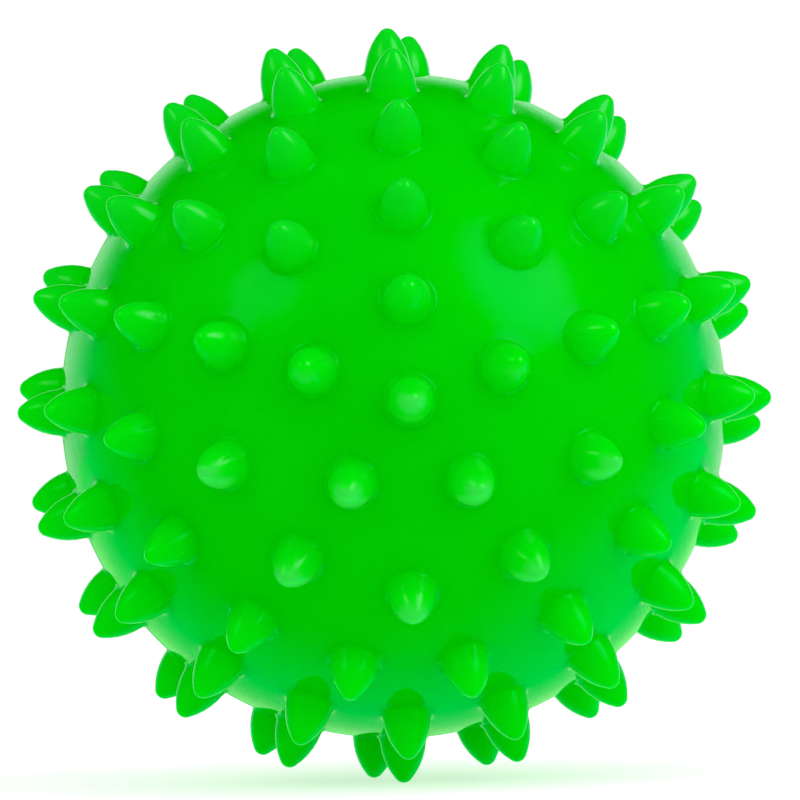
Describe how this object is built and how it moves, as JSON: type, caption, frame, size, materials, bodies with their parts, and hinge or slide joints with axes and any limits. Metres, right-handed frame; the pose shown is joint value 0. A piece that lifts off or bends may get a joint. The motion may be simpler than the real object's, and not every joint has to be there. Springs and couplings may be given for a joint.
{
  "type": "sensory ball",
  "caption": "Hollow soft ball of two half shells, covered in rings of rounded spikes, with a pull-out needle valve plug at the rear pole.",
  "frame": {"origin": "centre of the ball", "axes": "front pole along -Y, valve at the rear pole along +Y, one meridian of the front spikes along +Z"},
  "size_m": [0.0992, 0.098, 0.0992],
  "materials": {
    "skin": "glossy translucent soft vinyl",
    "plug": "satin soft vinyl"
  },
  "bodies": {
    "ball": {"front_shell": "skin", "rear_shell": "skin", "front_pole_spike": "skin", "front_spike_ring_1": "skin", "front_spike_ring_2": "skin", "front_spike_ring_3": "skin", "front_spike_ring_4": "skin", "front_spike_ring_5": "skin", "rear_spike_ring_1": "skin", "rear_spike_ring_2": "skin", "rear_spike_ring_3": "skin", "rear_spike_ring_4": "skin", "rear_spike_ring_5": "skin"},
    "plug": {"valve_plug": "plug"}
  },
  "joints": [
    {"name": "plug_pull", "type": "slide", "parent": "ball", "child": "plug", "axis": [0, 1, 0], "range_m": [0, 0.01]}
  ]
}
